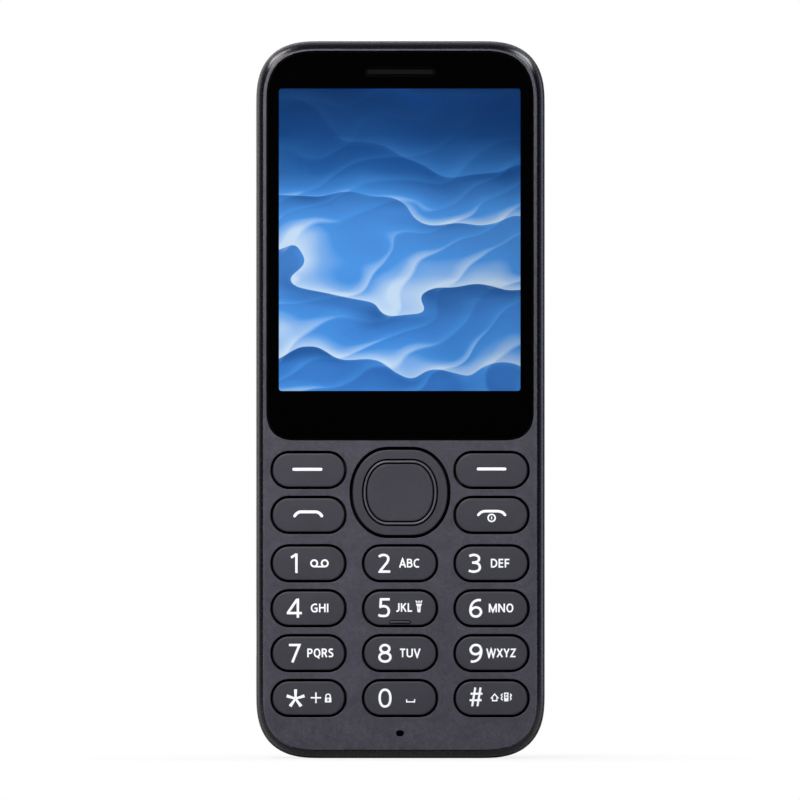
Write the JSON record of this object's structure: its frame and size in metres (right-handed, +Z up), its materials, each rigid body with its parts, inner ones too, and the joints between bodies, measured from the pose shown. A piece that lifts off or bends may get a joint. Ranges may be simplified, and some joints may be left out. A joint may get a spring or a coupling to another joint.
{
  "type": "bar phone with keypad",
  "caption": "Bar phone with a lit screen under a black window, a rocking navigation ring, a number keypad, and a rear cover that comes off over a battery.",
  "frame": {"origin": "middle of the bottom end's bounding box: the phone stands upright on z = 0, centred in x and y", "axes": "+Z up the length; the screen and keys face -Y; +X to the right seen from the front; +Y out of the back"},
  "size_m": [0.053, 0.013, 0.1316],
  "materials": {
    "housing": "satin dark blue-grey with a fine metallic grain",
    "keys": "satin dark blue-grey, white printed legends",
    "cover": "satin dark grey",
    "window": "polished, black behind its border, clear over the screen",
    "screen": "lit display, blue picture",
    "mesh": "black woven",
    "silicone": "matte silicone",
    "plastic": "black moulded",
    "board": "green solder mask on glass laminate",
    "steel": "plated sheet",
    "contacts": "gold flash",
    "copper": "copper film",
    "film": "clear film over domes",
    "clear": "clear",
    "battery": "shrink film"
  },
  "bodies": {
    "housing": {"front_housing": "housing", "display_window": "window", "earpiece_mesh": "mesh", "earpiece_receiver": "steel", "display_module": "screen", "display_bracket": "plastic", "display_flex": "copper", "keypad_membrane": "silicone", "dome_sheet": "film", "main_board": "board", "radio_shield": "steel", "processor_shield": "steel", "microphone": "steel", "mic_seal": "silicone", "usb_port": "steel", "audio_jack": "plastic", "rear_chassis": "plastic", "screw_1": "steel", "screw_2": "steel", "screw_3": "steel", "screw_4": "steel", "screw_5": "steel", "screw_6": "steel", "battery_contacts": "contacts", "sim_holder": "steel", "memory_card_holder": "steel", "camera_module": "plastic", "torch_led": "clear", "vibration_motor": "steel", "loudspeaker": "plastic", "antenna": "copper"},
    "nav_pad": {"nav_pad": "silicone"},
    "nav_ring": {"nav_ring": "keys"},
    "select_key": {"select_key": "keys"},
    "back_cover": {"back_cover": "cover", "camera_window": "window", "torch_lens": "clear", "speaker_mesh": "mesh"},
    "battery": {"battery": "battery"},
    "soft_key_left": {"soft_key_left": "keys"},
    "soft_key_right": {"soft_key_right": "keys"},
    "call_key": {"call_key": "keys"},
    "end_key": {"end_key": "keys"},
    "key_1": {"key_1": "keys"},
    "key_2": {"key_2": "keys"},
    "key_3": {"key_3": "keys"},
    "key_4": {"key_4": "keys"},
    "key_5": {"key_5": "keys"},
    "key_6": {"key_6": "keys"},
    "key_7": {"key_7": "keys"},
    "key_8": {"key_8": "keys"},
    "key_9": {"key_9": "keys"},
    "key_star": {"key_star": "keys"},
    "key_0": {"key_0": "keys"},
    "key_hash": {"key_hash": "keys"}
  },
  "joints": [
    {"name": "soft_key_left_press", "type": "slide", "parent": "housing", "child": "soft_key_left", "axis": [0, 1, 0], "range_m": [0, 0.00035], "stiffness_N_per_m": 600, "springref_m": -0.0002},
    {"name": "soft_key_right_press", "type": "slide", "parent": "housing", "child": "soft_key_right", "axis": [0, 1, 0], "range_m": [0, 0.00035], "stiffness_N_per_m": 600, "springref_m": -0.0002},
    {"name": "call_key_press", "type": "slide", "parent": "housing", "child": "call_key", "axis": [0, 1, 0], "range_m": [0, 0.00035], "stiffness_N_per_m": 600, "springref_m": -0.0002},
    {"name": "end_key_press", "type": "slide", "parent": "housing", "child": "end_key", "axis": [0, 1, 0], "range_m": [0, 0.00035], "stiffness_N_per_m": 600, "springref_m": -0.0002},
    {"name": "key_1_press", "type": "slide", "parent": "housing", "child": "key_1", "axis": [0, 1, 0], "range_m": [0, 0.00035], "stiffness_N_per_m": 600, "springref_m": -0.0002},
    {"name": "key_2_press", "type": "slide", "parent": "housing", "child": "key_2", "axis": [0, 1, 0], "range_m": [0, 0.00035], "stiffness_N_per_m": 600, "springref_m": -0.0002},
    {"name": "key_3_press", "type": "slide", "parent": "housing", "child": "key_3", "axis": [0, 1, 0], "range_m": [0, 0.00035], "stiffness_N_per_m": 600, "springref_m": -0.0002},
    {"name": "key_4_press", "type": "slide", "parent": "housing", "child": "key_4", "axis": [0, 1, 0], "range_m": [0, 0.00035], "stiffness_N_per_m": 600, "springref_m": -0.0002},
    {"name": "key_5_press", "type": "slide", "parent": "housing", "child": "key_5", "axis": [0, 1, 0], "range_m": [0, 0.00035], "stiffness_N_per_m": 600, "springref_m": -0.0002},
    {"name": "key_6_press", "type": "slide", "parent": "housing", "child": "key_6", "axis": [0, 1, 0], "range_m": [0, 0.00035], "stiffness_N_per_m": 600, "springref_m": -0.0002},
    {"name": "key_7_press", "type": "slide", "parent": "housing", "child": "key_7", "axis": [0, 1, 0], "range_m": [0, 0.00035], "stiffness_N_per_m": 600, "springref_m": -0.0002},
    {"name": "key_8_press", "type": "slide", "parent": "housing", "child": "key_8", "axis": [0, 1, 0], "range_m": [0, 0.00035], "stiffness_N_per_m": 600, "springref_m": -0.0002},
    {"name": "key_9_press", "type": "slide", "parent": "housing", "child": "key_9", "axis": [0, 1, 0], "range_m": [0, 0.00035], "stiffness_N_per_m": 600, "springref_m": -0.0002},
    {"name": "key_star_press", "type": "slide", "parent": "housing", "child": "key_star", "axis": [0, 1, 0], "range_m": [0, 0.00035], "stiffness_N_per_m": 600, "springref_m": -0.0002},
    {"name": "key_0_press", "type": "slide", "parent": "housing", "child": "key_0", "axis": [0, 1, 0], "range_m": [0, 0.00035], "stiffness_N_per_m": 600, "springref_m": -0.0002},
    {"name": "key_hash_press", "type": "slide", "parent": "housing", "child": "key_hash", "axis": [0, 1, 0], "range_m": [0, 0.00035], "stiffness_N_per_m": 600, "springref_m": -0.0002},
    {"name": "select_key_press", "type": "slide", "parent": "housing", "child": "select_key", "axis": [0, 1, 0], "range_m": [0, 0.00035], "stiffness_N_per_m": 600, "springref_m": -0.0002},
    {"name": "nav_sideways", "type": "hinge", "parent": "housing", "child": "nav_pad", "pos_m": [0, -0.00354, 0.04877], "axis": [0, 0, 1], "range_deg": [-1.5, 1.5], "stiffness_Nm_per_rad": 0.05},
    {"name": "nav_up_down", "type": "hinge", "parent": "nav_pad", "child": "nav_ring", "pos_m": [0, -0.00354, 0.04877], "axis": [1, 0, 0], "range_deg": [-1.5, 1.5], "stiffness_Nm_per_rad": 0.05},
    {"name": "cover_off", "type": "slide", "parent": "housing", "child": "back_cover", "axis": [0, 1, 0], "range_m": [0, 0.02]},
    {"name": "battery_lift", "type": "slide", "parent": "housing", "child": "battery", "axis": [0, 1, 0], "range_m": [0, 0.01]}
  ],
  "couplings": [
    {"joint": "battery_lift", "follows": "cover_off", "ratio": 0.5}
  ]
}
